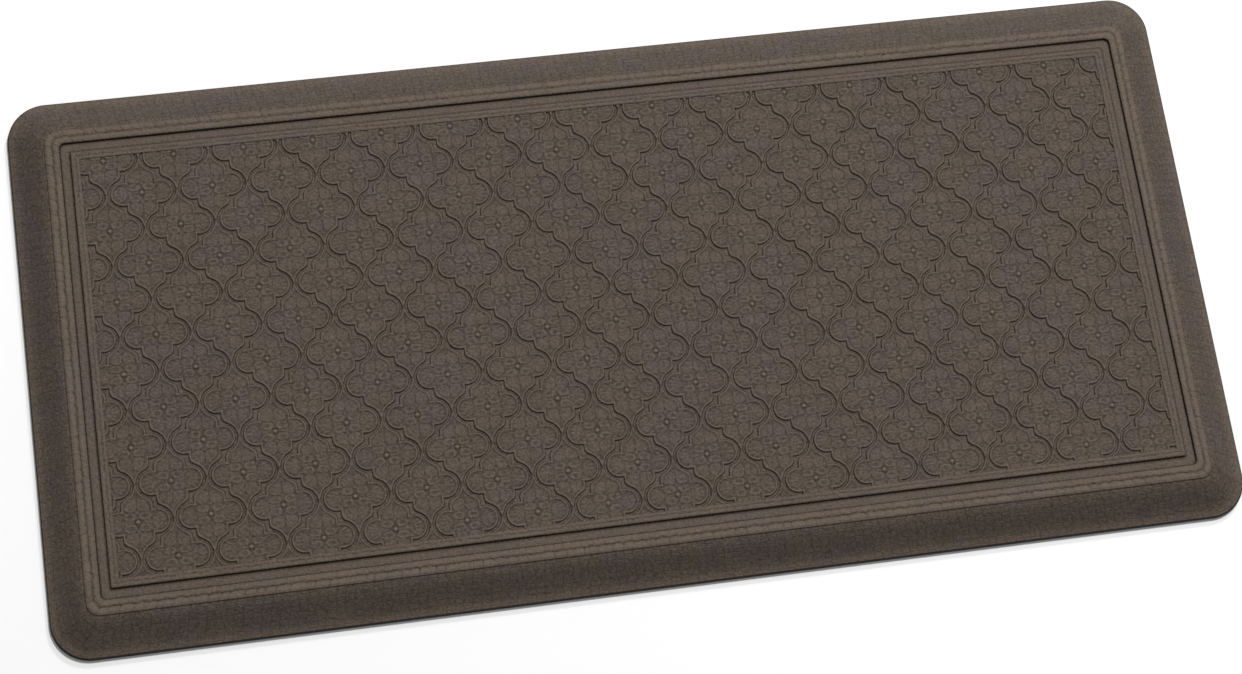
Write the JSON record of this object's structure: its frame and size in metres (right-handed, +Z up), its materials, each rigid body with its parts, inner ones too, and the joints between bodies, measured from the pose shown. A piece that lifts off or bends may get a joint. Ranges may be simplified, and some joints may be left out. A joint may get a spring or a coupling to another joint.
{
  "type": "anti fatigue mat",
  "caption": "Rectangular cushioned standing mat with sloped edges, a double raised border and an embossed quatrefoil field over foam on a non-slip base.",
  "frame": {"origin": "centre of the underside, on the floor", "axes": "+X along the length, +Y across the width, +Z up out of the standing surface"},
  "size_m": [1.067, 0.508, 0.0254],
  "materials": {
    "skin": "satin moulded polyurethane with an antiqued leather grain",
    "foam": "matt foam",
    "base": "matt non-slip texture"
  },
  "bodies": {
    "root": {"top_skin": "skin", "foam_core": "foam", "base_sheet": "base"}
  },
  "joints": []
}
